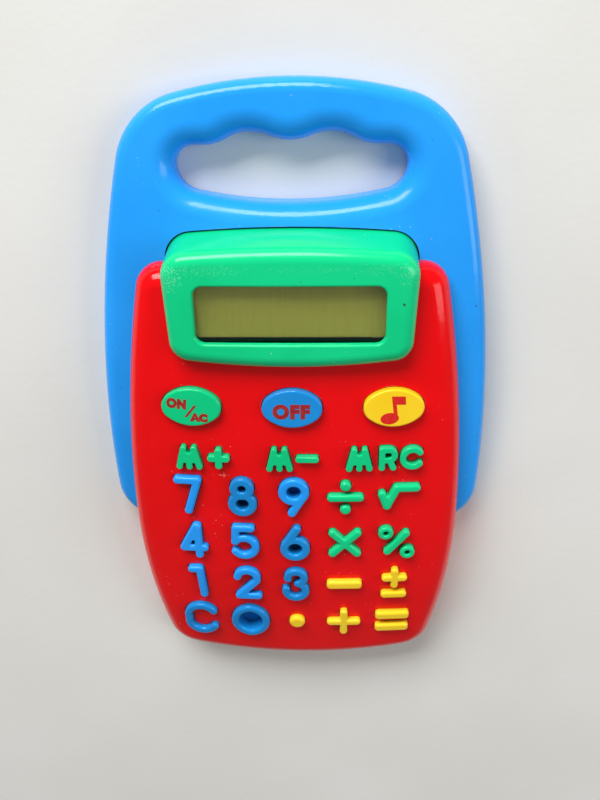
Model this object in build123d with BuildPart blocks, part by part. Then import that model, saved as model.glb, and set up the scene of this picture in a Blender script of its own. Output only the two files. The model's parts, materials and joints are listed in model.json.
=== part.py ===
from build123d import *
from math import atan2, degrees, sqrt
import os

# A child's calculator with a carrying handle, lying flat on its back.
# +Z is the way the keys face, +Y runs towards the handle, +X is to the right.
# The rest face is Z = 0 and all sizes are in millimetres.

# ---------------------------------------------------------------- driving sizes
WALL = 2.2
FLOOR = 2.4
PARTING = 5.0            # height of the joint between the two blue halves
TALL = 40.0              # more than the height of the whole case

PLATE_TOP = 116.2        # blue plate, measured from the origin of the keypad frame
PLATE_BOTTOM = -42.0
PLATE_HALF_WIDTH = 67.8
PLATE_WIDEST_Y = -8.0
PLATE_SIDE_RADIUS = 436.0
PLATE_TOP_RADIUS = 155.0
PLATE_SHOULDER = 26.0
PLATE_HEEL = 16.0

FACE_TOP = 60.8          # red face shell
FACE_BOTTOM = -106.4
FACE_HALF_WIDTH = 59.5
FACE_WIDEST_Y = -36.0
FACE_UPPER_SIDE_RADIUS = 502.0
FACE_LOWER_SIDE_RADIUS = 250.0
FACE_BOTTOM_RADIUS = 230.0
FACE_CORNER = 14.0
FACE_TOP_CORNER = 9.0
TONGUE_PLAY = 0.2        # the back carries a tongue that fits inside the face shell
TONGUE_WALL = 1.6

# Each front surface is part of a very large ball: (highest point, its Y, radius)
PLATE_DOME = (15.5, 20.0, 850.0)
FACE_DOME = (26.5, 5.0, 500.0)
HOOD_DOME = (31.5, 45.0, 900.0)

KEY_PROUD = 2.3          # how far a key stands above the face
KEY_GAP = 0.3            # gap round a key
KEY_TRAVEL = 1.5
NOTCH = 0.35             # rounding of the inner corners of a legend
KEY_FLANGE = 1.0         # thickness of the flange that holds a key in
KEY_FLANGE_EDGE = 1.1    # how far the flange reaches past the key at each side
KEY_STEM = 2.4           # radius of the stem under a key
PAD_TOP = 9.75           # top of the contact pads that the keys press
STEM_BOTTOM = PAD_TOP + KEY_TRAVEL + 0.05

COLUMNS = (-37.5, -18.4, 0.0, 18.3, 37.2)
ROWS = (-21.5, -41.9, -62.4, -83.1)

PLATE_EDGE = 4.5         # rounding of the plate's front edge
PLATE_SKIN = 2.0
BACK_EDGE = 2.5          # rounding of the edge of the back
HAND_FLARE = 7.0         # rounding round the front of the hand hole
HAND_LIP = 4.5           # width of the solid lip round the hand hole
FACE_EDGE = 7.5
HOOD_EDGE = 4.5
HOOD_FOOT = 12.0
HOOD_RIM = 34.0
HOOD_GAP = 0.4           # fine gap round the hood where it sinks into the plate
HOOD_SINK = 1.2
WINDOW_WIDTH = 60.6
WINDOW_HEIGHT = 19.0
WINDOW_Y = 47.6

BOARD_TOP = 8.5
BOARD_THICKNESS = 1.4
BOARD_POST = 5.0
DISPLAY_BOARD_TOP = 22.0
DISPLAY_BOARD_THICKNESS = 1.2
SMALL_SCREW = 6.0        # board screws: length under the head
SMALL_SHANK = 2.0
SCREW_SHANK = 2.4        # case screws
SCREW_TIP = 10.6
HEAD_SEAT = 2.6
HEAD_WELL = 5.8
REAR_POST = 4.2          # radii of the posts that the case screws join
FRONT_POST = 3.0
HOOD_POST = 1.8
SCREW_PLAY = 0.2

BAY_Y = 41.0             # battery bay
BAY_LENGTH = 56.4
BAY_WIDTH = 32.0
BAY_WALL = 1.6
BAY_TOP = 11.0
BAY_LEDGE = 2.0          # the floor reaches this far in under the bay
DOOR_LENGTH = 60.0
DOOR_WIDTH = 36.0
DOOR_THICKNESS = 1.3
DOOR_TRAVEL = 5.0
DOOR_PLAY = 0.1          # room between the door and the floor of its recess
DOOR_BOTTOM = 0.05       # the door sits this far inside the back
SOUND_Y = -10.0
SOUND_RADIUS = 13.5
SOUND_HOLE = 0.9
CASE_SCREWS = [(47.5, 88.0), (61.0, -22.0), (26.0, -98.4)]
BOARD_SCREWS = [(-28.1, -31.4), (28.0, -31.3), (-28.4, -71.4), (28.3, -70.6), (-17.2, 15.0), (17.2, 15.0)]
HOOD_POSTS = [(-35.0, 37.6), (35.0, 37.6), (-35.0, 61.0), (35.0, 61.0)]

BASE_MIDDLE_Y = (PLATE_TOP + FACE_BOTTOM) / 2
HALF_PLANE = 400.0       # side of a square that covers one side of a line

os.makedirs("parts", exist_ok=True)


def dome_height(dome, x, y, drop=0.0):
    """Height of a domed front surface above the rest face."""
    top, middle, radius = dome
    return top - radius + sqrt((radius - drop) ** 2 - x**2 - (y - middle) ** 2)


def keep_under(dome, drop=0.0, mode=Mode.INTERSECT):
    """Trim the part in work to what lies under a domed surface, or away from it."""
    top, middle, radius = dome
    with Locations((0, middle, top - radius)):
        # turned so that the ball's poles and seam lie far from the part
        Sphere(radius - drop, rotation=(90, 0, 0), mode=mode)


def finish(piece, name):
    """Name a finished piece and write it to its own file, with the middle of the base as origin."""
    centred = Pos(0, -BASE_MIDDLE_Y, 0) * piece.part
    centred.label = name
    export_step(centred, f"parts/{name}.step")


# ---------------------------------------------------------------- outlines seen from the front
def plate_outline(inset=0.0):
    """The blue plate: long bowed sides, a bowed top with wide shoulders and a straight bottom."""
    side = PLATE_HALF_WIDTH - PLATE_SIDE_RADIUS
    with BuildSketch() as outline:
        with Locations((side, PLATE_WIDEST_Y)):
            Circle(PLATE_SIDE_RADIUS - inset)
        with Locations((-side, PLATE_WIDEST_Y)):
            Circle(PLATE_SIDE_RADIUS - inset, mode=Mode.INTERSECT)
        with Locations((0, PLATE_TOP - PLATE_TOP_RADIUS)):
            Circle(PLATE_TOP_RADIUS - inset, mode=Mode.INTERSECT)
        with Locations((0, PLATE_BOTTOM + inset)):
            Rectangle(HALF_PLANE, HALF_PLANE, align=(Align.CENTER, Align.MIN), mode=Mode.INTERSECT)
        fillet(outline.vertices().sort_by(Axis.Y)[-2:], PLATE_SHOULDER - inset)
        fillet(outline.vertices().sort_by(Axis.Y)[:2], PLATE_HEEL - inset)
    return outline.sketch


def face_outline(inset=0.0):
    """The red face shell: widest a little below the middle, drawn in towards both ends."""
    upper = FACE_HALF_WIDTH - FACE_UPPER_SIDE_RADIUS
    lower = FACE_HALF_WIDTH - FACE_LOWER_SIDE_RADIUS
    with BuildSketch() as bottom_half:
        with Locations((lower, FACE_WIDEST_Y)):
            Circle(FACE_LOWER_SIDE_RADIUS - inset)
        with Locations((-lower, FACE_WIDEST_Y)):
            Circle(FACE_LOWER_SIDE_RADIUS - inset, mode=Mode.INTERSECT)
        with Locations((0, FACE_BOTTOM + FACE_BOTTOM_RADIUS)):
            Circle(FACE_BOTTOM_RADIUS - inset, mode=Mode.INTERSECT)
        with Locations((0, FACE_WIDEST_Y)):
            Rectangle(HALF_PLANE, HALF_PLANE, align=(Align.CENTER, Align.MAX), mode=Mode.INTERSECT)
        fillet(bottom_half.vertices().sort_by(Axis.Y)[:2], FACE_CORNER - inset)
    with BuildSketch() as outline:
        with Locations((upper, FACE_WIDEST_Y)):
            Circle(FACE_UPPER_SIDE_RADIUS - inset)
        with Locations((-upper, FACE_WIDEST_Y)):
            Circle(FACE_UPPER_SIDE_RADIUS - inset, mode=Mode.INTERSECT)
        with Locations((0, FACE_WIDEST_Y)):
            length = FACE_TOP - inset - FACE_WIDEST_Y
            Rectangle(HALF_PLANE, length, align=(Align.CENTER, Align.MIN), mode=Mode.INTERSECT)
        fillet(outline.vertices().sort_by(Axis.Y)[-2:], FACE_TOP_CORNER - inset)
        add(bottom_half.sketch)
    return outline.sketch


def handle_hole_outline():
    """The hand hole: two finger hollows along its upper edge and a bowed lower edge."""
    top_run = [(0, 97.4), (6.6, 98.7), (13.2, 100.0), (20.35, 98.05), (27.5, 96.1)]
    end_run = [(31.0, 96.1), (37.2, 89.9), (30.5, 81.6), (0, 78.3)]
    with BuildSketch() as hole:
        with BuildLine():
            heading = Vector(1, 0)
            for start, end in zip(top_run, top_run[1:]):
                heading = TangentArc(start, end, tangent=heading) % 1
            Line(top_run[-1], end_run[0])
            heading = Vector(1, 0)
            for start, end in zip(end_run, end_run[1:]):
                heading = TangentArc(start, end, tangent=heading) % 1
            mirror(about=Plane.YZ)
        make_face()
    return hole.sketch


def hood_outline(inset=0.0, back_inset=0.0):
    """The green hood: bowed back and front edges, sides drawn in towards the front."""
    back, front = 69.2 - inset - back_inset, 31.4 + inset
    wide, narrow = 41.6 - inset, 39.9 - inset
    with BuildSketch() as outline:
        with BuildLine():
            ThreePointArc((-wide, back), (0, back + 2.3), (wide, back))
            Line((wide, back), (narrow, front))
            ThreePointArc((narrow, front), (0, front - 2.8), (-narrow, front))
            Line((-narrow, front), (-wide, back))
        make_face()
        fillet(outline.vertices().sort_by(Axis.Y)[-2:], 9.0 - inset)
        fillet(outline.vertices().sort_by(Axis.Y)[:2], 7.5 - inset)
    return outline.sketch


def grown(sketch, amount):
    """A flat outline made larger, or smaller where the amount is negative."""
    with BuildSketch() as result:
        add(sketch)
        offset(amount=amount)
    return result.sketch


PLATE = plate_outline()
FACE = face_outline()
HAND_HOLE = handle_hole_outline()
PLATE_INSIDE = plate_outline(WALL)
FACE_INSIDE = face_outline(WALL)
FACE_OPENING = face_outline(WALL + 1.4)
TONGUE = face_outline(WALL + TONGUE_PLAY)
TONGUE_INSIDE = face_outline(WALL + TONGUE_PLAY + TONGUE_WALL)
HAND_WALL = grown(HAND_HOLE, HAND_LIP)

# ---------------------------------------------------------------- key legends
# A legend is a list of pen strokes: two points are a straight run, three an arc.
PEN = 3.0
LETTER_PEN = 2.2
SEVEN = [((-3.8, 6.4), (3.4, 6.4)), ((3.4, 6.4), (-0.6, -6.5))]
EIGHT = [
    ((0, 6.5), (2.9, 3.5), (0, 0.6)),
    ((0, 6.5), (-2.9, 3.5), (0, 0.6)),
    ((0, 0.8), (3.7, -2.8), (0, -6.5)),
    ((0, 0.8), (-3.7, -2.8), (0, -6.5)),
]
NINE = [
    ((0, 6.5), (4.0, 2.5), (0, -1.5)),
    ((0, 6.5), (-4.0, 2.5), (0, -1.5)),
    ((3.8, 1.3), (-0.8, -6.5)),
]
SIX = [tuple((-x, -y) for x, y in stroke) for stroke in NINE]
FOUR = [((1.3, 6.5), (-3.8, -3.3)), ((-3.8, -3.3), (3.8, -3.3)), ((1.8, 6.5), (1.8, -6.5))]
FIVE = [((2.4, 6.5), (-3.2, 6.5)), ((-3.2, 6.5), (-3.6, 0.3)), ((-3.6, 0.3), (3.8, -2.2), (-3.7, -4.4))]
ONE = [((-2.0, 6.2), (1.0, 6.4)), ((1.0, 6.4), (1.8, -6.5))]
TWO = [((-3.8, 3.4), (0.2, 6.5), (3.3, 1.4)), ((3.3, 1.4), (-3.5, -6.4)), ((-3.5, -6.4), (3.8, -6.4))]
THREE = [((-3.0, 3.0), (2.2, 5.6), (0.7, 0.5)), ((0.7, 0.5), (3.1, -4.9), (-3.8, -2.4))]
ZERO = [((0, 7.0), (6.1, 0), (0, -7.0)), ((0, 7.0), (-6.1, 0), (0, -7.0))]
BIG_C = [((4.5, 4.3), (-0.2, 7.0), (-5.5, 0)), ((4.5, -4.3), (-0.2, -7.0), (-5.5, 0))]
ROOT = [((-6.0, 1.2), (-4.2, -3.7)), ((-4.2, -3.7), (-0.9, 3.7)), ((-0.9, 3.7), (6.0, 3.7))]
TIMES = [((-4.5, -4.7), (4.5, 4.7)), ((-4.5, 4.7), (4.5, -4.7))]
PLUS = [((-5.1, 0), (5.1, 0)), ((0, -5.3), (0, 5.3))]
SMALL_PLUS = [((-2.7, 0), (2.7, 0)), ((0, -2.8), (0, 2.8))]
SMALL_MINUS = [((-2.9, 0), (2.9, 0))]
SIGN_PLUS = [((-3.4, 0), (3.4, 0)), ((0, -3.5), (0, 3.5))]
SLASH = [((-3.3, -4.1), (3.3, 4.1))]
LETTER_M = [((-1.8, 3.5), (-3.5, -3.5)), ((1.8, 3.5), (3.5, -3.5)), ((0, 0), (0, -3.5))]
LETTER_R = [
    ((-2.1, 3.5), (-2.1, -3.5)),
    ((-2.1, 3.5), (0.2, 3.5)),
    ((0.2, 3.5), (2.2, 1.5), (0.2, -0.5)),
    ((0.2, -0.5), (-2.1, -0.5)),
    ((0.6, -0.6), (1.8, -3.5)),
]
LETTER_C = [((2.6, 2.2), (-3.2, 0), (2.6, -2.2))]


def draw(strokes, pen, at=(0.0, 0.0)):
    """Draw round-ended pen strokes in the sketch in work."""
    for stroke in strokes:
        points = [Vector(x + at[0], y + at[1]) for x, y in stroke]
        if len(points) == 2:
            run = points[1] - points[0]
            with Locations((points[0] + points[1]) / 2):
                SlotCenterToCenter(run.length, pen, rotation=degrees(atan2(run.Y, run.X)))
        else:
            SlotArc(Edge.make_three_point_arc(*points), pen)


def legend_digit(strokes):
    return lambda gap: draw(strokes, PEN + 2 * gap)


def legend_oval(gap):
    """An oval of four arcs: two shallow ones and two tight ends."""
    shallow = 13.1
    half_height = 6.9
    with BuildSketch(mode=Mode.PRIVATE) as oval:
        with Locations((0, half_height - shallow)):
            Circle(shallow + gap)
        with Locations((0, shallow - half_height)):
            Circle(shallow + gap, mode=Mode.INTERSECT)
        fillet(oval.vertices(), 5.0 + gap)
    add(oval.sketch)


def legend_divide(gap):
    draw([((-5.05, 0), (5.05, 0))], PEN + 2 * gap)
    with Locations((0, 4.95), (0, -4.95)):
        Circle(1.95 + gap)


def legend_percent(gap):
    """Two small rings and a slash; the rings are closed where the face is cut."""
    draw(SLASH, 2.7 + 2 * gap)
    with Locations((-4.1, 4.6), (4.1, -4.6)):
        Circle(2.75 + gap)
    if gap == 0:
        with Locations((-4.1, 4.6), (4.1, -4.6)):
            Circle(0.9, mode=Mode.SUBTRACT)


def letter_m(gap, at):
    """A letter M with its middle filled, so that only short notches show."""
    draw(LETTER_M, LETTER_PEN + 2 * gap, at)
    x, y = at
    with BuildLine(mode=Mode.PRIVATE) as middle:
        Polyline(
            (x - 1.8, y + 3.5),
            (x, y + 1.9 + 2 * gap),
            (x + 1.8, y + 3.5),
            (x + 3.1, y - 2.0),
            (x - 3.1, y - 2.0),
            close=True,
        )
    make_face(middle.edges())


def legend_m_plus(gap):
    letter_m(gap, (-5.3, 0))
    draw(SMALL_PLUS, 2.5 + 2 * gap, (5.1, 0.0))


def legend_m_minus(gap):
    letter_m(gap, (-4.7, 0))
    draw(SMALL_MINUS, 2.3 + 2 * gap, (4.9, 0.2))


def legend_mrc(gap):
    letter_m(gap, (-8.7, 0))
    draw(LETTER_R, LETTER_PEN + 2 * gap, (1.2, 0.1))
    draw(LETTER_C, LETTER_PEN + 2 * gap, (9.5, 0.2))


def bar(width, height, y, gap):
    with Locations((0, y)):
        RectangleRounded(width + 2 * gap, height + 2 * gap, 1.5 + gap)


def legend_sign(gap):
    draw(SIGN_PLUS, 2.9 + 2 * gap, (0.0, 2.8))
    bar(9.9, 3.1, -5.6, gap)


def legend_point(gap):
    Circle(3.1 + gap)


def legend_equals(gap):
    bar(13.2, 4.1, 3.4, gap)
    bar(13.2, 4.1, -3.4, gap)


def legend_minus(gap):
    bar(13.4, 3.9, 0, gap)


# name, legend, place, radius of the rounding along the top edge
MEMORY_ROW = -5.6
OVAL_ROW = 14.0
KEYS = [
    ("key_on", legend_oval, (-34.1, OVAL_ROW), 0.7),
    ("key_off", legend_oval, (0.0, OVAL_ROW), 0.7),
    ("key_music", legend_oval, (34.1, OVAL_ROW), 0.7),
    ("key_m_plus", legend_m_plus, (-31.0, MEMORY_ROW), 0.5),
    ("key_m_minus", legend_m_minus, (0.0, MEMORY_ROW), 0.5),
    ("key_mrc", legend_mrc, (31.6, MEMORY_ROW), 0.5),
    ("key_7", legend_digit(SEVEN), (COLUMNS[0], ROWS[0]), 1.0),
    ("key_8", legend_digit(EIGHT), (COLUMNS[1], ROWS[0]), 0.8),
    ("key_9", legend_digit(NINE), (COLUMNS[2], ROWS[0]), 0.9),
    ("key_divide", legend_divide, (COLUMNS[3], ROWS[0]), 1.1),
    ("key_root", legend_digit(ROOT), (COLUMNS[4], ROWS[0]), 1.0),
    ("key_4", legend_digit(FOUR), (COLUMNS[0], ROWS[1]), 0.8),
    ("key_5", legend_digit(FIVE), (COLUMNS[1], ROWS[1]), 1.0),
    ("key_6", legend_digit(SIX), (COLUMNS[2], ROWS[1]), 0.9),
    ("key_multiply", legend_digit(TIMES), (COLUMNS[3], ROWS[1]), 1.0),
    ("key_percent", legend_percent, (COLUMNS[4], ROWS[1]), 0.7),
    ("key_1", legend_digit(ONE), (COLUMNS[0], ROWS[2]), 1.0),
    ("key_2", legend_digit(TWO), (COLUMNS[1], ROWS[2]), 0.9),
    ("key_3", legend_digit(THREE), (COLUMNS[2], ROWS[2]), 0.9),
    ("key_minus", legend_minus, (COLUMNS[3], ROWS[2]), 1.1),
    ("key_sign", legend_sign, (COLUMNS[4], ROWS[2]), 1.0),
    ("key_clear", legend_digit(BIG_C), (COLUMNS[0], ROWS[3]), 1.0),
    ("key_0", legend_digit(ZERO), (COLUMNS[1], ROWS[3]), 1.1),
    ("key_point", legend_point, (COLUMNS[2], ROWS[3]), 1.4),
    ("key_plus", legend_digit(PLUS), (COLUMNS[3], ROWS[3]), 1.0),
    ("key_equals", legend_equals, (COLUMNS[4], ROWS[3]), 1.2),
]


def key_sketch(legend, place, gap=0.0):
    """A key's legend seen from the front; with a gap, the opening in the face for it."""
    with BuildSketch() as flat:
        legend(gap)
        if gap:
            outers = [face.outer_wire() for face in flat.faces()]
            for wire in outers:
                make_face(wire.edges())
        else:
            offset(amount=NOTCH)
            offset(amount=-NOTCH)
    return Pos(*place) * flat.sketch


def flange_level(corners):
    """Height of a key's flange: just under the inside of the face at its lowest corner."""
    lowest = min(dome_height(FACE_DOME, x, y, WALL) for x, y in corners)
    return lowest - 0.35


def make_key(name, legend, place, rounding):
    """A key: raised legend, the flange that holds it in, and a stem down to its contact pad."""
    flat = key_sketch(legend, place)
    box = flat.bounding_box()
    corners = [
        (x, y)
        for x in (box.min.X - KEY_FLANGE_EDGE, box.max.X + KEY_FLANGE_EDGE)
        for y in (box.min.Y, box.max.Y)
    ]
    flange_top = flange_level(corners)
    flange_size = (box.size.X + 2 * KEY_FLANGE_EDGE, box.size.Y)
    middle = ((box.min.X + box.max.X) / 2, (box.min.Y + box.max.Y) / 2)
    ball_top, ball_y, ball_radius = FACE_DOME
    outward = Vector(place[0], place[1] - ball_y, ball_radius)
    crown = Plane((*place, dome_height(FACE_DOME, *place) + KEY_PROUD), z_dir=outward)
    with BuildPart() as key:
        with BuildSketch(Plane.XY.offset(flange_top)):
            add(flat)
        extrude(amount=TALL)
        split(bisect_by=crown, keep=Keep.BOTTOM)
        rims = key.faces().filter_by(lambda face: face.normal_at().dot(crown.z_dir) > 0.999).edges()
        fillet(rims, rounding)
        with BuildSketch(Plane.XY.offset(flange_top)):
            with Locations(middle):
                RectangleRounded(*flange_size, 1.5)
        extrude(amount=-KEY_FLANGE)
        with BuildSketch(Plane.XY.offset(flange_top - KEY_FLANGE)):
            with Locations(middle):
                Circle(KEY_STEM)
        extrude(amount=-(flange_top - KEY_FLANGE - STEM_BOTTOM))
    finish(key, name)


for key_entry in KEYS:
    make_key(*key_entry)

# ---------------------------------------------------------------- casing
with BuildPart() as plate_front:
    # the whole front of the plate before it is hollowed, which its neighbours rest on
    with BuildSketch(Plane.XY.offset(PARTING)):
        add(PLATE)
    extrude(amount=TALL)
    keep_under(PLATE_DOME)
    fillet(plate_front.faces().sort_by(Axis.Z)[-1].edges(), PLATE_EDGE)

with BuildPart() as plate_hollow:
    with BuildSketch(Plane.XY.offset(PARTING)):
        add(PLATE_INSIDE)
        add(HAND_WALL, mode=Mode.SUBTRACT)
    extrude(amount=TALL)
    keep_under(PLATE_DOME, drop=PLATE_SKIN)

with BuildPart() as handle_shell:
    add(plate_front.part)
    with BuildSketch(Plane.XY.offset(PARTING)):
        add(HAND_HOLE)
    extrude(amount=TALL, mode=Mode.SUBTRACT)
    fillet(handle_shell.faces().sort_by(Axis.Z)[-1].inner_wires()[0].edges(), HAND_FLARE)
    add(plate_hollow.part, mode=Mode.SUBTRACT)
    for x, y in CASE_SCREWS[:2]:
        with BuildSketch(Plane.XY.offset(PARTING + 1)):
            with Locations((x, y), (-x, y)):
                Circle(FRONT_POST)
        extrude(amount=dome_height(PLATE_DOME, x, y, PLATE_SKIN / 2) - PARTING - 1)
    # opening under the face shell and the hood
    with BuildSketch(Plane.XY.offset(PARTING)):
        add(FACE_OPENING)
        add(hood_outline(inset=-HOOD_GAP))
    extrude(amount=TALL, mode=Mode.SUBTRACT)
    with BuildSketch(Plane.XY.offset(PARTING)):
        for x, y in CASE_SCREWS[:2]:
            with Locations((x, y), (-x, y)):
                Circle(SCREW_SHANK / 2)
    extrude(amount=SCREW_TIP - PARTING, mode=Mode.SUBTRACT)
finish(handle_shell, "handle_shell")

with BuildPart() as rear_plate:
    # the blue rear half without its hollow, which the face shell also rests on
    with BuildSketch():
        add(PLATE)
    extrude(amount=PARTING)
    fillet(rear_plate.faces().sort_by(Axis.Z)[0].edges(), BACK_EDGE)

with BuildPart() as rear_shell:
    add(rear_plate.part)
    with BuildSketch():
        add(TONGUE)
    extrude(amount=PARTING)
    with BuildSketch():
        add(HAND_HOLE)
    extrude(amount=PARTING, mode=Mode.SUBTRACT)
    fillet(rear_shell.faces().sort_by(Axis.Z)[0].inner_wires()[0].edges(), 1.5)
    with BuildSketch(Plane.XY.offset(FLOOR)):
        add(PLATE_INSIDE)
        add(TONGUE_INSIDE)
        add(HAND_WALL, mode=Mode.SUBTRACT)
    extrude(amount=PARTING, mode=Mode.SUBTRACT)
    # posts for the case screws
    with BuildSketch(Plane.XY.offset(FLOOR - 1)):
        for x, y in CASE_SCREWS:
            with Locations((x, y), (-x, y)):
                Circle(REAR_POST)
    extrude(amount=PARTING + 1 - FLOOR + 1)
    with BuildSketch():
        for x, y in CASE_SCREWS:
            with Locations((x, y), (-x, y)):
                Circle(HEAD_WELL / 2)
    extrude(amount=HEAD_SEAT, mode=Mode.SUBTRACT)
    with BuildSketch():
        for x, y in CASE_SCREWS:
            with Locations((x, y), (-x, y)):
                Circle(SCREW_SHANK / 2 + SCREW_PLAY)
    extrude(amount=TALL, mode=Mode.SUBTRACT)
    # battery bay: a recess for the door outside, an opening, and walls inside
    with BuildSketch(Plane.XY.offset(FLOOR - 0.5)):
        with Locations((0, BAY_Y)):
            Rectangle(BAY_LENGTH + 2 * BAY_WALL, BAY_WIDTH + 2 * BAY_WALL)
            Rectangle(BAY_LENGTH, BAY_WIDTH, mode=Mode.SUBTRACT)
    extrude(amount=BAY_TOP - FLOOR + 0.5)
    with BuildSketch():
        with Locations((0, BAY_Y - DOOR_TRAVEL / 2)):
            RectangleRounded(DOOR_LENGTH + 0.5, DOOR_WIDTH + DOOR_TRAVEL + 0.5, 2.2)
    extrude(amount=DOOR_THICKNESS + DOOR_PLAY, mode=Mode.SUBTRACT)
    with BuildSketch():
        with Locations((0, BAY_Y)):
            Rectangle(BAY_LENGTH - 2 * BAY_LEDGE, BAY_WIDTH - 2 * BAY_LEDGE)
    extrude(amount=FLOOR, mode=Mode.SUBTRACT)
    # ring that the sound disc sits on, and the sound holes inside it
    with BuildSketch(Plane.XY.offset(FLOOR - 0.5)):
        with Locations((0, SOUND_Y)):
            Circle(SOUND_RADIUS + 1)
            Circle(SOUND_RADIUS - 1.5, mode=Mode.SUBTRACT)
    extrude(amount=1.5)
    with BuildSketch():
        with Locations((0, SOUND_Y)):
            Circle(SOUND_HOLE)
            with PolarLocations(4.5, 6):
                Circle(SOUND_HOLE)
            with PolarLocations(8.5, 12):
                Circle(SOUND_HOLE)
    extrude(amount=FLOOR, mode=Mode.SUBTRACT)
finish(rear_shell, "rear_shell")

with BuildPart() as face_block:
    # the red shell before it is hollowed and trimmed to the plate
    with BuildSketch():
        add(FACE)
    extrude(amount=TALL)
    keep_under(FACE_DOME)
    fillet(face_block.faces().sort_by(Axis.Z)[-1].edges(), FACE_EDGE)

with BuildPart() as face_hollow:
    with BuildSketch():
        add(FACE_INSIDE)
    extrude(amount=TALL)
    keep_under(FACE_DOME, drop=WALL)
    fillet(face_hollow.faces().sort_by(Axis.Z)[-1].edges(), FACE_EDGE - WALL)

with BuildPart() as face_shell:
    add(face_block.part)
    add(face_hollow.part, mode=Mode.SUBTRACT)
    add(plate_front.part, mode=Mode.SUBTRACT)
    add(rear_plate.part, mode=Mode.SUBTRACT)
    # posts for the board and for the two lowest case screws
    for x, y in BOARD_SCREWS:
        with BuildSketch(Plane.XY.offset(BOARD_TOP)):
            with Locations((x, y)):
                Circle(BOARD_POST / 2)
        extrude(amount=dome_height(FACE_DOME, x, y, 1.0) - BOARD_TOP)
    low_x, low_y = CASE_SCREWS[2]
    with BuildSketch(Plane.XY.offset(PARTING + 1)):
        with Locations((low_x, low_y), (-low_x, low_y)):
            Circle(FRONT_POST)
    extrude(amount=dome_height(FACE_DOME, low_x, low_y, 1.5) - PARTING - 1)
    with BuildSketch(Plane.XY.offset(PARTING)):
        with Locations((low_x, low_y), (-low_x, low_y)):
            Circle(SCREW_SHANK / 2)
    extrude(amount=SCREW_TIP - PARTING, mode=Mode.SUBTRACT)
    with BuildSketch(Plane.XY.offset(BOARD_TOP)):
        with Locations(BOARD_SCREWS):
            Circle(SMALL_SHANK / 2)
    extrude(amount=SMALL_SCREW - BOARD_THICKNESS, mode=Mode.SUBTRACT)
    # opening under the display hood
    with BuildSketch():
        add(hood_outline(inset=WALL - 0.4))
    extrude(amount=TALL, mode=Mode.SUBTRACT)
    # openings for the keys
    with BuildSketch(Plane.XY.offset(PAD_TOP)):
        for name, legend, place, rounding in KEYS:
            add(key_sketch(legend, place, KEY_GAP))
    extrude(amount=TALL, mode=Mode.SUBTRACT)
finish(face_shell, "face_shell")


def hood_block(inset, drop):
    """The hood as a solid: a leaning back wall, slightly leaning sides and a domed top."""
    with BuildPart() as block:
        with BuildSketch(Plane.XY.offset(HOOD_FOOT)):
            add(hood_outline(inset))
        with BuildSketch(Plane.XY.offset(HOOD_RIM)):
            add(hood_outline(inset + 0.8, back_inset=2.8))
        loft()
        keep_under(HOOD_DOME, drop)
        fillet(block.faces().sort_by(Axis.Z)[-1].edges(), HOOD_EDGE - inset)
    return block.part


hood_outside = hood_block(0, 0)
hood_inside = hood_block(WALL, WALL)

with BuildPart() as display_hood:
    add(hood_outside)
    add(hood_inside, mode=Mode.SUBTRACT)
    add(face_block.part, mode=Mode.SUBTRACT)
    keep_under(PLATE_DOME, drop=HOOD_SINK, mode=Mode.SUBTRACT)
    # window, with softly rounded edges
    with BuildSketch(Plane.XY.offset(HOOD_FOOT)):
        with Locations((0, WINDOW_Y)):
            RectangleRounded(WINDOW_WIDTH, WINDOW_HEIGHT, 3.2)
    extrude(amount=TALL, mode=Mode.SUBTRACT)
    fillet(display_hood.faces().sort_by(Axis.Z)[-1].inner_wires()[0].edges(), 0.8)
    # posts for the display board
    for x, y in HOOD_POSTS:
        with BuildSketch(Plane.XY.offset(DISPLAY_BOARD_TOP)):
            with Locations((x, y)):
                Circle(HOOD_POST)
        extrude(amount=dome_height(HOOD_DOME, x, y, 1.2) - DISPLAY_BOARD_TOP)
    with BuildSketch(Plane.XY.offset(DISPLAY_BOARD_TOP)):
        with Locations(HOOD_POSTS):
            Circle(SMALL_SHANK / 2)
    extrude(amount=SMALL_SCREW - DISPLAY_BOARD_THICKNESS, mode=Mode.SUBTRACT)
finish(display_hood, "display_hood")


# ---------------------------------------------------------------- display
LENS_TOP = 28.4
LENS_THICKNESS = 1.0
PANEL_TOP = 26.6
PANEL_THICKNESS = 2.2
PANEL_LENGTH = 64.0
PANEL_WIDTH = 26.0
STRIP_WIDTH = 1.8
BEZEL_LENGTH = 66.0
BEZEL_WIDTH = 27.6

with BuildPart() as display_lens:
    with BuildSketch(Plane.XY.offset(LENS_TOP - LENS_THICKNESS)):
        with Locations((0, WINDOW_Y)):
            RectangleRounded(WINDOW_WIDTH + 5, WINDOW_HEIGHT + 6, 2)
    extrude(amount=LENS_THICKNESS)
finish(display_lens, "display_lens")

with BuildPart() as lcd_panel:
    with BuildSketch(Plane.XY.offset(PANEL_TOP - PANEL_THICKNESS)):
        with Locations((0, WINDOW_Y)):
            Rectangle(PANEL_LENGTH, PANEL_WIDTH)
    extrude(amount=PANEL_THICKNESS)
finish(lcd_panel, "lcd_panel")

with BuildPart() as lcd_connector:
    with BuildSketch(Plane.XY.offset(DISPLAY_BOARD_TOP)):
        with Locations((0, WINDOW_Y)):
            with GridLocations(0, PANEL_WIDTH - STRIP_WIDTH, 1, 2):
                Rectangle(PANEL_LENGTH - 4, STRIP_WIDTH)
    extrude(amount=PANEL_TOP - PANEL_THICKNESS - DISPLAY_BOARD_TOP)
finish(lcd_connector, "lcd_connector")

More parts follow.
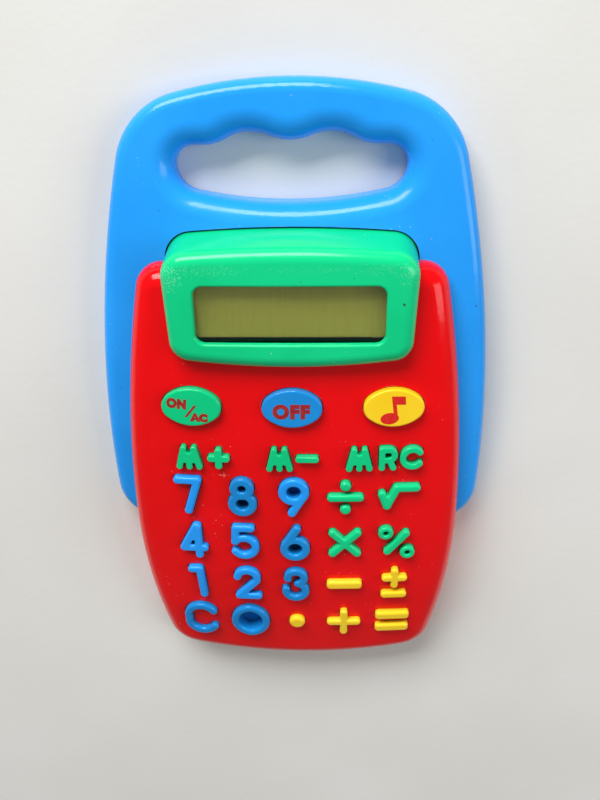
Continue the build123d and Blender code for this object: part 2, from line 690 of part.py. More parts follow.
with BuildPart() as lcd_bezel:
    with BuildSketch(Plane.XY.offset(DISPLAY_BOARD_TOP)):
        with Locations((0, WINDOW_Y)):
            RectangleRounded(BEZEL_LENGTH, BEZEL_WIDTH, 1.5)
            Rectangle(PANEL_LENGTH, PANEL_WIDTH, mode=Mode.SUBTRACT)
    extrude(amount=LENS_TOP - LENS_THICKNESS - DISPLAY_BOARD_TOP)
    with BuildSketch(Plane.XY.offset(PANEL_TOP)):
        with Locations((0, WINDOW_Y)):
            RectangleRounded(BEZEL_LENGTH, BEZEL_WIDTH, 1.5)
        with Locations((0, WINDOW_Y + 0.6)):
            RectangleRounded(WINDOW_WIDTH + 0.8, WINDOW_HEIGHT - 1.2, 1.5, mode=Mode.SUBTRACT)
    extrude(amount=LENS_TOP - LENS_THICKNESS - PANEL_TOP)
finish(lcd_bezel, "lcd_bezel")

with BuildPart() as display_board:
    with BuildSketch(Plane.XY.offset(DISPLAY_BOARD_TOP - DISPLAY_BOARD_THICKNESS)):
        with Locations((0, (HOOD_POSTS[0][1] + HOOD_POSTS[2][1]) / 2)):
            RectangleRounded(73.6, 28.4, 2)
        with Locations(HOOD_POSTS):
            Circle((SMALL_SHANK + SCREW_PLAY) / 2, mode=Mode.SUBTRACT)
    extrude(amount=DISPLAY_BOARD_THICKNESS)
finish(display_board, "display_board")

# ---------------------------------------------------------------- main board and keypad
RIBBON_WIDTH = 14.0
RIBBON = 0.4
BOARD_END = 22.6
BOARD_START = -93.0
CHIP_COVER = 1.5

with BuildPart() as main_board:
    with BuildSketch(Plane.XY.offset(BOARD_TOP - BOARD_THICKNESS)):
        with Locations((0, (BOARD_END + BOARD_START) / 2)):
            RectangleRounded(92, BOARD_END - BOARD_START, 8)
        with Locations(BOARD_SCREWS):
            Circle((SMALL_SHANK + SCREW_PLAY) / 2, mode=Mode.SUBTRACT)
    extrude(amount=BOARD_THICKNESS)
finish(main_board, "main_board")

with BuildPart() as chip_cover:
    with BuildSketch(Plane.XY.offset(BOARD_TOP - BOARD_THICKNESS)):
        with Locations((0, -52)):
            Circle(6)
    extrude(amount=-CHIP_COVER)
    fillet(chip_cover.faces().sort_by(Axis.Z)[0].edges(), 1.2)
finish(chip_cover, "chip_cover")


def stem_place(legend, place):
    """Where a key's stem stands: the middle of its legend."""
    box = key_sketch(legend, place).bounding_box()
    return ((box.min.X + box.max.X) / 2, (box.min.Y + box.max.Y) / 2)


STEMS = [stem_place(legend, place) for name, legend, place, rounding in KEYS]
SHEET_THICKNESS = 0.8

with BuildPart() as keypad_sheet:
    with BuildSketch(Plane.XY.offset(BOARD_TOP)):
        with Locations((0, -35.8)):
            RectangleRounded(91, 113, 7)
        with Locations(BOARD_SCREWS):
            Circle(BOARD_POST / 2 + 0.2, mode=Mode.SUBTRACT)
    extrude(amount=SHEET_THICKNESS)
    with BuildSketch(Plane.XY.offset(BOARD_TOP + SHEET_THICKNESS)):
        with Locations(STEMS):
            Circle(2.8)
    extrude(amount=PAD_TOP - BOARD_TOP - SHEET_THICKNESS, taper=20)
finish(keypad_sheet, "keypad_sheet")

with BuildPart() as display_ribbon:
    # flat cable: over the battery bay, then down to the end of the main board
    level = DISPLAY_BOARD_TOP - DISPLAY_BOARD_THICKNESS - RIBBON / 2
    with BuildSketch(Plane.YZ.offset(-RIBBON_WIDTH / 2)):
        with BuildLine():
            FilletPolyline((36.5, level), (21.6, level), (21.6, BOARD_TOP), radius=3)
        trace(line_width=RIBBON)
    extrude(amount=RIBBON_WIDTH)
finish(display_ribbon, "display_ribbon")

DISC_METAL = 0.4

with BuildPart() as sound_disc:
    with BuildSketch(Plane.XY.offset(FLOOR + 1)):
        with Locations((0, SOUND_Y)):
            Circle(SOUND_RADIUS)
    extrude(amount=DISC_METAL)
    with BuildSketch(Plane.XY.offset(FLOOR + 1 + DISC_METAL)):
        with Locations((0, SOUND_Y)):
            Circle(SOUND_RADIUS - 4)
    extrude(amount=0.2)
finish(sound_disc, "sound_disc")

# ---------------------------------------------------------------- battery bay
CELL_RADIUS = 7.25
CELL_LENGTH = 49.3       # without the raised contact
NUB_RADIUS = 2.75
NUB_LENGTH = 1.2
CELL_BOTTOM = 4.2
CELL_Z = CELL_BOTTOM + CELL_RADIUS
CELL_PITCH = 15.4
PLATE_METAL = 0.4
SPRING_LENGTH = BAY_LENGTH - 2 * PLATE_METAL - CELL_LENGTH - NUB_LENGTH


def cell(direction, y):
    """An AA cell lying along X, with its raised contact towards +X or -X."""
    end = direction * (BAY_LENGTH / 2 - PLATE_METAL)
    face = Plane((end, y, CELL_Z), z_dir=(-direction, 0, 0))
    with BuildPart() as battery:
        with BuildSketch(face):
            Circle(NUB_RADIUS)
        extrude(amount=NUB_LENGTH)
        with BuildSketch(face.offset(NUB_LENGTH)):
            Circle(CELL_RADIUS)
        extrude(amount=CELL_LENGTH)
        fillet(battery.edges().filter_by(GeomType.CIRCLE).filter_by(lambda edge: edge.radius > 7), 0.6)
    return battery


def contact_plates(places):
    """Sheet-metal contacts standing at the ends of the battery bay: (end, first Y, last Y)."""
    with BuildPart() as plates:
        for end, first, last in places:
            with Locations((end * (BAY_LENGTH - PLATE_METAL) / 2, (first + last) / 2, FLOOR)):
                Box(PLATE_METAL, last - first, 9.5, align=(Align.CENTER, Align.CENTER, Align.MIN))
    return plates


UPPER_CELL_Y = BAY_Y + CELL_PITCH / 2
LOWER_CELL_Y = BAY_Y - CELL_PITCH / 2
finish(cell(1, UPPER_CELL_Y), "battery_upper")
finish(cell(-1, LOWER_CELL_Y), "battery_lower")
REACH = 4.6              # how far a contact reaches past the middle of its cell
finish(contact_plates([(1, LOWER_CELL_Y - REACH, UPPER_CELL_Y + REACH)]), "battery_link")
terminals = [(-1, middle - REACH, middle + REACH) for middle in (LOWER_CELL_Y, UPPER_CELL_Y)]
finish(contact_plates(terminals), "battery_terminals")

with BuildPart() as battery_springs:
    # each coil spring is its closed outer shape: a hollow cone, widest at the contact plate
    for side, y in ((1, LOWER_CELL_Y), (-1, UPPER_CELL_Y)):
        foot = Plane((side * (BAY_LENGTH / 2 - PLATE_METAL), y, CELL_Z), z_dir=(-side, 0, 0))
        with BuildSketch(foot):
            Circle(4.4)
            Circle(3.6, mode=Mode.SUBTRACT)
        with BuildSketch(foot.offset(SPRING_LENGTH)):
            Circle(2.6)
            Circle(1.8, mode=Mode.SUBTRACT)
        loft()
finish(battery_springs, "battery_springs")


def lead(side_y, x):
    """A thin wire from the top of a contact plate, over the bay wall and down to the main board."""
    height = BAY_TOP + 0.8
    start = (-BAY_LENGTH / 2, side_y, height)
    route = [start, (x, side_y, height), (x, LEAD_END_Y, height), (x, LEAD_END_Y, BOARD_TOP)]
    with BuildPart() as wire:
        with BuildLine():
            FilletPolyline(*route, radius=1.8)
        with BuildSketch(Plane(start, z_dir=(-1, 0, 0))):
            Circle(0.6)
        sweep()
    return wire


LEAD_END_Y = 21.7
finish(lead(LOWER_CELL_Y, -34.0), "lead_positive")
finish(lead(UPPER_CELL_Y, -37.0), "lead_negative")

HOOK_WIDTH = 7.0
HOOK_THICKNESS = 1.4
HOOK_REACH = 1.2         # how far the hooks reach over the edge of the opening
HOOK_SPACING = 40.0

with BuildPart() as battery_door:
    with BuildSketch(Plane.XY.offset(DOOR_BOTTOM)):
        with Locations((0, BAY_Y)):
            RectangleRounded(DOOR_LENGTH, DOOR_WIDTH, 2)
    extrude(amount=DOOR_THICKNESS - DOOR_BOTTOM)
    # finger grip: three shallow grooves across the door
    with BuildSketch(Plane.XY.offset(DOOR_BOTTOM)):
        with Locations((0, BAY_Y + 9)):
            with GridLocations(0, 3, 1, 3):
                SlotOverall(24, 1.4)
    extrude(amount=0.5, mode=Mode.SUBTRACT)
    # two ribs that the cells rest on
    with BuildSketch(Plane.XY.offset(DOOR_THICKNESS)):
        with Locations((0, BAY_Y + 2.5)):
            with GridLocations(24, 0, 2, 1):
                Rectangle(1.6, 20)
    extrude(amount=CELL_BOTTOM - 0.05 - DOOR_THICKNESS)
    # two hooks: each stands just inside the opening and reaches over its edge
    opening_edge = BAY_Y + BAY_WIDTH / 2 - BAY_LEDGE
    hook_back = opening_edge - 0.2
    with BuildSketch(Plane.XY.offset(DOOR_THICKNESS)):
        with Locations((0, hook_back)):
            with GridLocations(HOOK_SPACING, 0, 2, 1):
                Rectangle(HOOK_WIDTH, HOOK_THICKNESS, align=(Align.CENTER, Align.MAX))
    extrude(amount=FLOOR + 1.1 - DOOR_THICKNESS)
    with BuildSketch(Plane.XY.offset(FLOOR + 0.1)):
        with Locations((0, hook_back + HOOK_REACH)):
            with GridLocations(HOOK_SPACING, 0, 2, 1):
                Rectangle(HOOK_WIDTH, HOOK_THICKNESS + HOOK_REACH, align=(Align.CENTER, Align.MAX))
    extrude(amount=1)
finish(battery_door, "battery_door")

# ---------------------------------------------------------------- screws
HEAD_RADIUS = 2.6
HEAD_THICKNESS = 1.9
SLOT_DEPTH = 0.9
SMALL_HEAD_RADIUS = 1.9
SMALL_HEAD_THICKNESS = 1.3

with BuildPart() as case_screws:
    for x, y in CASE_SCREWS:
        for side in (1, -1):
            # the head in two layers, the outer one with a cross slot, then the shank
            with BuildSketch(Plane.XY.offset(HEAD_SEAT - HEAD_THICKNESS)):
                with Locations((side * x, y)):
                    Circle(HEAD_RADIUS)
                    with PolarLocations(0, 2, angular_range=180):
                        Rectangle(0.7, 3.2, mode=Mode.SUBTRACT)
            extrude(amount=SLOT_DEPTH)
            with BuildSketch(Plane.XY.offset(HEAD_SEAT - HEAD_THICKNESS + SLOT_DEPTH)):
                with Locations((side * x, y)):
                    Circle(HEAD_RADIUS)
            extrude(amount=HEAD_THICKNESS - SLOT_DEPTH)
            with BuildSketch(Plane.XY.offset(HEAD_SEAT)):
                with Locations((side * x, y)):
                    Circle(SCREW_SHANK / 2)
            extrude(amount=SCREW_TIP - HEAD_SEAT)
finish(case_screws, "case_screws")

with BuildPart() as board_screws:
    for places, board_bottom in (
        (BOARD_SCREWS, BOARD_TOP - BOARD_THICKNESS),
        (HOOD_POSTS, DISPLAY_BOARD_TOP - DISPLAY_BOARD_THICKNESS),
    ):
        with BuildSketch(Plane.XY.offset(board_bottom)):
            with Locations(places):
                Circle(SMALL_HEAD_RADIUS)
        extrude(amount=-SMALL_HEAD_THICKNESS)
        with BuildSketch(Plane.XY.offset(board_bottom)):
            with Locations(places):
                Circle(SMALL_SHANK / 2)
        extrude(amount=SMALL_SCREW)
finish(board_screws, "board_screws")
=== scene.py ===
import json
import math

import bmesh
import bpy
from mathutils import Matrix, Vector


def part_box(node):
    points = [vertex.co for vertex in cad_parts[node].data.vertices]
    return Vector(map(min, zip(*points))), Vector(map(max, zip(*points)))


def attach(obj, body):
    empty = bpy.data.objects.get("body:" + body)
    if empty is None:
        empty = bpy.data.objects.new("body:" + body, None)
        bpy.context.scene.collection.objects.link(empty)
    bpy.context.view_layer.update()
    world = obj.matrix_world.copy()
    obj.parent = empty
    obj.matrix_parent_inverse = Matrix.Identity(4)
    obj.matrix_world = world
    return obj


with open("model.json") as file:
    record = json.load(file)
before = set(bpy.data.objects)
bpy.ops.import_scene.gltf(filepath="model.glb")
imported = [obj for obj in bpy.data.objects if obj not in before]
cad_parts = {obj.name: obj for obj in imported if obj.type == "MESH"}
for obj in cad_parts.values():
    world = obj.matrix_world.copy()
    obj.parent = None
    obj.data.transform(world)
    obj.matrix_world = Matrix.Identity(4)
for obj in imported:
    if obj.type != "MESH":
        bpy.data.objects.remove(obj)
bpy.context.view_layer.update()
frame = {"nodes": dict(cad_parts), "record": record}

# A child's calculator with a carrying handle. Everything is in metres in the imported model's own frame:
# it lies on its flat back, +Z is the way the keys face and +Y runs towards the handle.
MM = 0.001
NODES = frame["nodes"]
SLOTS = {entry["node"]: entry["material_slot"] for entry in frame["record"]["subparts"]}
ORIGIN = (0, 0, 0)


# ---------------------------------------------------------------- node helpers
class Shader:
    """A material being built: each method adds one node and returns its output."""

    def __init__(self, name):
        self.material = bpy.data.materials.new(name)
        self.material.use_nodes = True
        self.tree = self.material.node_tree
        self.bsdf = self.tree.nodes["Principled BSDF"]
        self.place = self.node("ShaderNodeTexCoord").outputs["Object"]

    def node(self, kind, **settings):
        made = self.tree.nodes.new(kind)
        for key, value in settings.items():
            setattr(made, key, value)
        return made

    def put(self, socket, value):
        """Link an output into a socket, or set the socket's own value."""
        if isinstance(value, bpy.types.NodeSocket):
            self.tree.links.new(value, socket)
        else:
            socket.default_value = value

    def stretched(self, scale, turn=0.0):
        """The place, turned about Z and scaled differently along each axis."""
        mapping = self.node("ShaderNodeMapping")
        self.put(mapping.inputs["Vector"], self.place)
        mapping.inputs["Rotation"].default_value = (0, 0, turn)
        mapping.inputs["Scale"].default_value = scale
        return mapping.outputs["Vector"]

    def noise(self, scale, detail=3.0, place=None, rough=0.5):
        """Cloudy noise; scale is in features per metre."""
        made = self.node("ShaderNodeTexNoise")
        self.put(made.inputs["Vector"], self.place if place is None else place)
        made.inputs["Scale"].default_value = scale
        made.inputs["Detail"].default_value = detail
        made.inputs["Roughness"].default_value = rough
        return made.outputs["Fac"]

    def cells(self, scale):
        """Distance to the nearest of many scattered points."""
        made = self.node("ShaderNodeTexVoronoi")
        self.put(made.inputs["Vector"], self.place)
        made.inputs["Scale"].default_value = scale
        return made.outputs["Distance"]

    def ramp(self, value, low, high, out_low=0.0, out_high=1.0):
        """Map low..high to out_low..out_high, clamped, with soft ends."""
        made = self.node("ShaderNodeMapRange", interpolation_type="SMOOTHSTEP")
        self.put(made.inputs["Value"], value)
        for socket, number in zip(made.inputs[1:5], (low, high, out_low, out_high)):
            self.put(socket, number)
        return made.outputs["Result"]

    def math(self, operation, *values):
        made = self.node("ShaderNodeMath", operation=operation)
        for socket, value in zip(made.inputs, values):
            self.put(socket, value)
        return made.outputs["Value"]

    def times(self, first, *others):
        for other in others:
            first = self.math("MULTIPLY", first, other)
        return first

    def most(self, first, *others):
        for other in others:
            first = self.math("MAXIMUM", first, other)
        return first

    def blend(self, amount, start, end):
        """Mix two colours."""
        made = self.node("ShaderNodeMix", data_type="RGBA")
        self.put(made.inputs["Factor"], amount)
        for socket, colour in ((made.inputs[6], start), (made.inputs[7], end)):
            self.put(socket, colour if isinstance(colour, bpy.types.NodeSocket) else (*colour, 1.0))
        return made.outputs[2]

    def spot(self, centre, size, ragged=0.5):
        """A soft patch, its centre and half sizes in millimetres, with a ragged outline."""
        away = self.node("ShaderNodeVectorMath", operation="SUBTRACT")
        self.put(away.inputs[0], self.place)
        away.inputs[1].default_value = [number * MM for number in centre]
        scaled = self.node("ShaderNodeVectorMath", operation="DIVIDE")
        self.put(scaled.inputs[0], away.outputs["Vector"])
        scaled.inputs[1].default_value = [number * MM for number in size]
        length = self.node("ShaderNodeVectorMath", operation="LENGTH")
        self.put(length.inputs[0], scaled.outputs["Vector"])
        shift = self.ramp(self.noise(900), 0.3, 0.7, -ragged, ragged)
        edge = self.math("ADD", length.outputs["Value"], shift)
        return self.ramp(edge, 1.0, 0.6)

    def hairlines(self, turn, density, width=0.003):
        """Fine broken scratches that run one way: the middle contours of a long-drawn noise."""
        lines = self.noise(density, 0.0, self.stretched((1.0, 0.03, 1.0), turn))
        away = self.math("ABSOLUTE", self.math("SUBTRACT", lines, 0.5))
        return self.times(self.ramp(away, width, 0.0), self.ramp(self.noise(60, 2.0), 0.56, 0.66))

    def edges(self, radius):
        """Where the surface turns sharply, as on a rim."""
        rounded = self.node("ShaderNodeBevel", samples=6)
        rounded.inputs["Radius"].default_value = radius
        flat = self.node("ShaderNodeNewGeometry").outputs["Normal"]
        dot = self.node("ShaderNodeVectorMath", operation="DOT_PRODUCT")
        self.put(dot.inputs[0], rounded.outputs["Normal"])
        self.put(dot.inputs[1], flat)
        return self.ramp(dot.outputs["Value"], 0.985, 0.86)

    def recess_shade_mask(self, reach):
        """Where the surface lies deep between its neighbours, as in a counter or a gap: a mask for painted
        shade.
        """
        shade = self.node("ShaderNodeAmbientOcclusion", samples=6, only_local=True)
        shade.inputs["Distance"].default_value = reach
        return self.ramp(shade.outputs["AO"], 0.62, 0.22)

    def bump(self, height, distance, strength=1.0):
        made = self.node("ShaderNodeBump")
        made.inputs["Strength"].default_value = strength
        made.inputs["Distance"].default_value = distance
        self.put(made.inputs["Height"], height)
        self.put(self.bsdf.inputs["Normal"], made.outputs["Normal"])

    def finish(self, colour, roughness, **settings):
        """Connect the colour and roughness, and set the shader's own uniform values."""
        self.put(self.bsdf.inputs["Base Color"], colour)
        self.put(self.bsdf.inputs["Roughness"], roughness)
        for name, value in settings.items():
            self.bsdf.inputs[name.replace("_", " ")].default_value = value
        return self.material


# ---------------------------------------------------------------- materials
WHITE_WEAR = (0.82, 0.84, 0.80)
DUST = (0.75, 0.72, 0.68)
GRIME = (0.03, 0.025, 0.02)
SPRINKLED = 0.6          # marks weaker than this are sprinkled specks
SHADOW_REACH = 5 * MM    # how wide a gap or a counter may be and still get painted shade
RIM = 0.5 * MM           # how far from an edge the plastic is rubbed


def moulded_plastic(name, deep, bright, marks=(), wear=0.55, gloss=0.16):
    """Glossy injection-moulded plastic: faint cloudiness, orange peel, dust, dull scratches, painted shade
    in recesses and rubbed edges.

    marks are further patches: (centre in mm, half sizes in mm, colour, strength). A patch weaker than
    SPRINKLED is a sprinkle of fine specks, as a rub leaves on a high corner."""
    s = Shader(name)
    colour = s.blend(s.ramp(s.noise(22, 4.0), 0.35, 0.65), deep, bright)
    scratches = s.most(s.hairlines(0.5, 260), s.hairlines(-0.9, 230), s.hairlines(1.7, 300))
    rubbed = s.times(s.edges(RIM), s.ramp(s.noise(170, 4.0, rough=0.7), 0.44, 0.66), wear)
    specks = s.times(s.ramp(s.cells(420), 0.10, 0.05), s.ramp(s.noise(45), 0.55, 0.62))
    dirt = s.times(s.ramp(s.cells(230), 0.055, 0.03), s.ramp(s.noise(31, 2.0), 0.56, 0.60))
    # painted shade: recesses, gaps and key counters are darkened in the colour itself, towards a dark copy
    # of the plastic
    painted_recess_shade = s.times(s.recess_shade_mask(SHADOW_REACH), 0.75)
    colour = s.blend(painted_recess_shade, colour, [channel * 0.22 for channel in deep])
    colour = s.blend(s.times(rubbed, 0.25), colour, WHITE_WEAR)
    colour = s.blend(s.times(specks, 0.40), colour, DUST)
    colour = s.blend(s.times(dirt, 0.75), colour, GRIME)
    scuffed = s.most(s.times(scratches, 0.5), rubbed, specks)
    for centre, size, tint, strength in marks:
        patch = s.times(s.spot(centre, size), strength)
        if strength < SPRINKLED:
            patch = s.times(patch, s.ramp(s.noise(1900, 3.0, rough=0.7), 0.50, 0.68))
        colour = s.blend(patch, colour, tint)
        scuffed = s.most(scuffed, patch)
    smudged = s.ramp(s.noise(34, 5.0, rough=0.65), 0.42, 0.70, gloss, gloss + 0.10)
    roughness = s.math("ADD", smudged, s.times(scuffed, 0.32))
    peel = s.math("ADD", s.times(s.noise(240, 2.0), 0.5), s.times(rubbed, -0.35))
    s.bump(peel, 0.05 * MM, 0.55)
    return s.finish(colour, roughness, Specular_IOR_Level=0.24, Coat_Weight=0.08, Coat_Roughness=0.05)


def lcd():
    """Olive liquid crystal panel with a faint polariser grain."""
    s = Shader("lcd_olive")
    colour = s.blend(s.ramp(s.noise(18, 2.0), 0.3, 0.7), (0.480, 0.485, 0.070), (0.535, 0.540, 0.090))
    grain = s.noise(900, 2.0, s.stretched((1.0, 0.08, 1.0)))
    colour = s.blend(s.ramp(grain, 0.4, 0.6, 0.0, 0.07), colour, (0.20, 0.21, 0.04))
    s.bump(grain, 0.01 * MM, 0.3)
    return s.finish(colour, s.ramp(s.noise(70), 0.3, 0.7, 0.30, 0.42), Specular_IOR_Level=0.35)


def clear_lens():
    """Clear flat plastic with a little dust and very slight waves in its surface."""
    s = Shader("lens_clear")
    marks = s.times(s.ramp(s.cells(350), 0.06, 0.03), s.ramp(s.noise(50), 0.60, 0.66))
    colour = s.blend(marks, (0.97, 0.98, 0.95), (0.92, 0.92, 0.88))
    s.bump(s.noise(60, 2.0), 0.01 * MM, 0.4)
    return s.finish(colour, s.math("ADD", 0.03, s.times(marks, 0.4)), Transmission_Weight=1.0, IOR=1.46)


def plain(name, low, high, rough, grain=200, metallic=0.0, depth=0.02, **settings):
    """A quieter material for small and inner pieces: mottled colour, fine grain and uneven gloss."""
    s = Shader(name)
    colour = s.blend(s.ramp(s.noise(grain, 4.0), 0.35, 0.65), low, high)
    s.bump(s.noise(grain * 6, 2.0), depth * MM, 0.6)
    roughness = s.ramp(s.noise(grain * 2, 3.0), 0.3, 0.7, rough - 0.06, rough + 0.08)
    return s.finish(colour, roughness, Metallic=metallic, **settings)


def printed_ink(name, dark, light):
    """Pad-printed ink, a little worn through."""
    s = Shader(name)
    colour = s.blend(s.ramp(s.noise(500, 4.0, rough=0.7), 0.40, 0.62), dark, light)
    s.bump(s.noise(1500, 2.0), 0.01 * MM, 0.4)
    return s.finish(colour, s.ramp(s.noise(300), 0.3, 0.7, 0.28, 0.42))


SCUFF = (0.72, 0.86, 0.76)
HOOD_MARKS = (
    ((-38.0, 55.0, 30.0), (4.5, 4.5, 5.0), SCUFF, 0.26),
    ((-27.0, 57.3, 30.5), (14.0, 1.9, 4.0), SCUFF, 0.12),
    ((8.0, 57.6, 30.5), (16.0, 1.3, 4.0), SCUFF, 0.06),
    ((29.5, 57.3, 30.5), (9.0, 1.9, 4.0), SCUFF, 0.10),
    ((36.5, 55.5, 30.0), (3.0, 4.0, 5.0), SCUFF, 0.14),
    ((-11.5, 65.0, 31.0), (0.7, 0.5, 3.0), GRIME, 0.90),
    ((35.5, 46.4, 30.5), (0.6, 0.5, 3.0), GRIME, 0.90),
)
BLUE_MARKS = (
    ((37.4, 106.8, 11.0), (2.2, 0.5, 4.0), (0.35, 0.38, 0.42), 0.70),
    ((-63.0, -10.0, 11.0), (0.4, 1.0, 3.0), GRIME, 0.80),
    ((61.0, 40.0, 13.0), (0.5, 0.4, 3.0), GRIME, 0.80),
)
RED_MARKS = (
    ((-25.3, -18.1, 25.0), (2.6, 0.16, 3.0), (0.95, 0.30, 0.26), 0.70),
    ((-24.6, -18.1, 25.0), (0.16, 2.0, 3.0), (0.95, 0.30, 0.26), 0.70),
)
MATERIALS = {
    "blue_plastic": moulded_plastic("plastic_blue", (0.014, 0.315, 0.90), (0.020, 0.345, 0.97), BLUE_MARKS),
    "red_plastic": moulded_plastic(
        "plastic_red", (0.78, 0.0005, 0.002), (0.85, 0.001, 0.004), RED_MARKS, gloss=0.13
    ),
    "green_plastic": moulded_plastic(
        "plastic_green", (0.001, 0.56, 0.21), (0.004, 0.64, 0.25), HOOD_MARKS, wear=0.8
    ),
    "yellow_plastic": moulded_plastic("plastic_yellow", (0.95, 0.62, 0.012), (1.0, 0.70, 0.03)),
    "clear_lens": clear_lens(),
    "lcd_glass": lcd(),
    "black_plastic": plain("plastic_black", (0.012, 0.012, 0.013), (0.03, 0.03, 0.03), 0.45),
    "grey_rubber": plain("rubber_grey", (0.22, 0.23, 0.24), (0.33, 0.34, 0.34), 0.65, depth=0.05),
    "circuit_board": plain("board_green", (0.02, 0.14, 0.05), (0.04, 0.22, 0.09), 0.32, grain=600),
    "ribbon": plain("ribbon_grey", (0.55, 0.54, 0.50), (0.70, 0.69, 0.64), 0.40, grain=500),
    "disc_metal": plain("disc_brass", (0.62, 0.46, 0.20), (0.78, 0.60, 0.30), 0.30, metallic=1.0),
    "cell_case": plain("cell_dark", (0.04, 0.04, 0.045), (0.09, 0.09, 0.10), 0.30),
    "contact_metal": plain(
        "contact_steel", (0.50, 0.50, 0.49), (0.66, 0.66, 0.64), 0.26, grain=800, metallic=1.0
    ),
    "red_wire": plain("wire_red", (0.50, 0.02, 0.015), (0.65, 0.04, 0.03), 0.42),
    "black_wire": plain("wire_black", (0.012, 0.012, 0.012), (0.03, 0.03, 0.03), 0.42),
    "screw_metal": plain(
        "screw_steel", (0.42, 0.42, 0.42), (0.60, 0.60, 0.60), 0.30, grain=900, metallic=1.0
    ),
}
for node_name, part in NODES.items():
    for holder in part.material_slots:
        holder.material = MATERIALS[SLOTS[node_name]]

# some keys come from a duller batch of blue
DULL_BLUE = moulded_plastic("plastic_blue_dull", (0.008, 0.235, 0.62), (0.012, 0.275, 0.72), wear=0.2)
for node_name in ("key_off", "key_8", "key_6", "key_3", "key_clear", "key_0"):
    NODES[node_name].material_slots[0].material = DULL_BLUE


# ---------------------------------------------------------------- printed legends on the oval keys
DARK_INK = printed_ink("ink_dark_red", (0.30, 0.010, 0.010), (0.38, 0.020, 0.018))
NOTE_INK = printed_ink("ink_red", (0.66, 0.012, 0.008), (0.76, 0.02, 0.012))
INK_LIFT = 0.03 * MM
INK_THICKNESS = 0.02 * MM
KEY_TOP_DEPTH = 2 * MM   # a key's top face lies within this of its highest point


def key_top(node):
    """A matrix just above the middle of a key's flat top, with Z along the top's normal."""
    low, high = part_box(node)
    faces = NODES[node].data.polygons
    upper = [face for face in faces if face.center.z > high[2] - KEY_TOP_DEPTH and face.normal.z > 0.9]
    top = max(upper, key=lambda face: face.area)
    normal = top.normal.normalized()
    middle = Vector(((low[0] + high[0]) / 2, (low[1] + high[1]) / 2, 0))
    middle.z = top.center.z - (middle - top.center).xy.dot(normal.xy) / normal.z
    right = (Vector((1, 0, 0)) - normal * normal.x).normalized()
    turn = Matrix((right, normal.cross(right), normal)).transposed().to_4x4()
    return Matrix.Translation(middle + normal * INK_LIFT) @ turn


def ink(piece, key, material):
    """Lay a flat drawn piece on a key's top and let it ride on the key."""
    piece.matrix_world = key_top(key) @ piece.matrix_world
    piece.data.materials.append(material)
    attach(piece, key)


def letters(name, text, key, at, size, bold, slope=0.0):
    """Round-cornered capitals of a given width and height, centred on a place, all in millimetres."""
    drawn = bpy.data.curves.new(name, "FONT")
    drawn.body = text
    drawn.size = size[1] * MM
    drawn.offset = bold * MM
    drawn.extrude = INK_THICKNESS
    drawn.space_character = 1.15
    drawn.align_x = "CENTER"
    drawn.align_y = "CENTER"
    piece = bpy.data.objects.new(name, drawn)
    bpy.context.scene.collection.objects.link(piece)
    bpy.context.view_layer.update()
    corners = [Vector(corner) for corner in piece.bound_box]
    low = Vector([min(corner[axis] for corner in corners) for axis in range(3)])
    high = Vector([max(corner[axis] for corner in corners) for axis in range(3)])
    centre = (low + high) / 2
    stretch = Matrix.Diagonal((size[0] * MM / (high.x - low.x), size[1] * MM / (high.y - low.y), 1, 1))
    place = Matrix.Translation((at[0] * MM, at[1] * MM, 0)) @ Matrix.Rotation(slope, 4, "Z")
    piece.matrix_world = place @ stretch @ Matrix.Translation((-centre.x, -centre.y, 0))
    ink(piece, key, DARK_INK)


def drawn_shape(name, outlines, key, material):
    """Flat filled outlines, in millimetres, on a key's top, each a hair thicker than the one before."""
    mesh = bmesh.new()
    for layer, outline in enumerate(outlines):
        ring = [mesh.verts.new((x * MM, y * MM, 0)) for x, y in outline]
        face = mesh.faces.new(ring)
        lifted = bmesh.ops.extrude_face_region(mesh, geom=[face])["geom"]
        raised = [item for item in lifted if isinstance(item, bmesh.types.BMVert)]
        bmesh.ops.translate(mesh, vec=(0, 0, INK_THICKNESS * (1 + layer / 2)), verts=raised)
    bmesh.ops.recalc_face_normals(mesh, faces=mesh.faces)
    data = bpy.data.meshes.new(name)
    mesh.to_mesh(data)
    mesh.free()
    piece = bpy.data.objects.new(name, data)
    bpy.context.scene.collection.objects.link(piece)
    ink(piece, key, material)


def ellipse(centre, half_sizes, tilt=0.0, steps=40):
    """Points round a tilted ellipse."""
    turn = Matrix.Rotation(tilt, 2)
    points = []
    for step in range(steps):
        angle = math.tau * step / steps
        points.append(turn @ Vector((half_sizes[0] * math.cos(angle), half_sizes[1] * math.sin(angle))))
    return [(centre[0] + point.x, centre[1] + point.y) for point in points]


letters("legend_on", "ON", "key_on", (-4.9, 1.5), (6.8, 3.8), 0.34, slope=-0.10)
letters("legend_ac", "AC", "key_on", (2.5, -3.5), (6.2, 3.2), 0.34, slope=-0.04)
drawn_shape("legend_slash", [[(-2.5, -3.4), (-1.5, -3.4), (2.0, 0.9), (1.0, 0.9)]], "key_on", DARK_INK)
letters("legend_off", "OFF", "key_off", (-0.2, -0.8), (12.6, 5.5), 0.40)
NOTE = [
    ellipse((-1.4, -3.6), (3.1, 2.1), tilt=0.10),
    [(-0.9, 4.5), (0.0, -2.6), (0.3, -4.6), (1.4, -3.8), (0.8, 1.5), (3.9, 1.4), (3.7, 4.4)],
]
drawn_shape("legend_note", NOTE, "key_music", NOTE_INK)


# ---------------------------------------------------------------- floor, light and camera
FLOOR_SIZE = 6.0


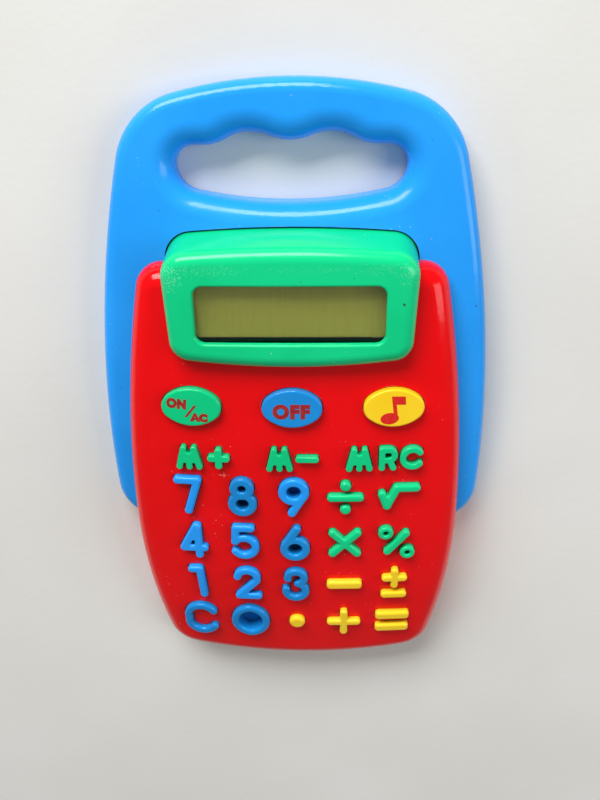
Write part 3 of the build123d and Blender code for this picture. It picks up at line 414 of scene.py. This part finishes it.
def pale_floor():
    """A wide pale surface that the calculator lies on."""
    bpy.ops.mesh.primitive_plane_add(size=FLOOR_SIZE)
    floor = bpy.context.object
    floor.name = "floor"
    s = Shader("floor_pale")
    colour = s.blend(s.ramp(s.noise(9, 4.0), 0.35, 0.65), (0.73, 0.725, 0.69), (0.77, 0.765, 0.735))
    s.bump(s.noise(420, 3.0), 0.15 * MM, 0.35)
    floor.data.materials.append(s.finish(colour, 0.7))


def soft_light(name, place, target, size, power):
    """A large rectangular lamp that points at a place."""
    lamp = bpy.data.lights.new(name, "AREA")
    lamp.shape = "RECTANGLE"
    lamp.size, lamp.size_y = size
    lamp.energy = power
    holder = bpy.data.objects.new(name, lamp)
    holder.location = place
    holder.rotation_euler = (Vector(target) - Vector(place)).to_track_quat("-Z", "Y").to_euler()
    bpy.context.scene.collection.objects.link(holder)


pale_floor()
# the main light comes from beyond the handle, a weaker one from the right
soft_light("window_light", (-0.40, 1.25, 0.72), ORIGIN, (1.1, 0.6), 29.0)
soft_light("side_light", (1.20, 0.15, 0.85), ORIGIN, (0.6, 0.9), 6.5)

world = bpy.data.worlds.new("studio")
world.use_nodes = True
surroundings = world.node_tree.nodes["Background"]
surroundings.inputs["Color"].default_value = (1.0, 0.985, 0.965, 1.0)
surroundings.inputs["Strength"].default_value = 0.26
bpy.context.scene.world = world
bpy.context.scene.view_settings.view_transform = "Standard"

CAMERA_PLACE = Vector((0.0131, 0.1255, 0.2685))
CAMERA_TILT = math.radians(25.18)     # away from straight down, from above the handle towards the keys
CAMERA_PAN = math.radians(-2.23)
CAMERA_ROLL = math.radians(-0.19)
SENSOR = 36.0
lens_data = bpy.data.cameras.new("camera")
lens_data.sensor_width = SENSOR
lens_data.lens = SENSOR
lens_data.clip_start = 0.01
camera = bpy.data.objects.new("camera", lens_data)
turned = Matrix.Rotation(CAMERA_ROLL, 4, "Z") @ Matrix.Rotation(CAMERA_PAN, 4, "Y")
turned = turned @ Matrix.Rotation(CAMERA_TILT, 4, "X")
camera.matrix_world = Matrix.Translation(CAMERA_PLACE) @ turned.transposed()
bpy.context.scene.collection.objects.link(camera)
bpy.context.scene.camera = camera
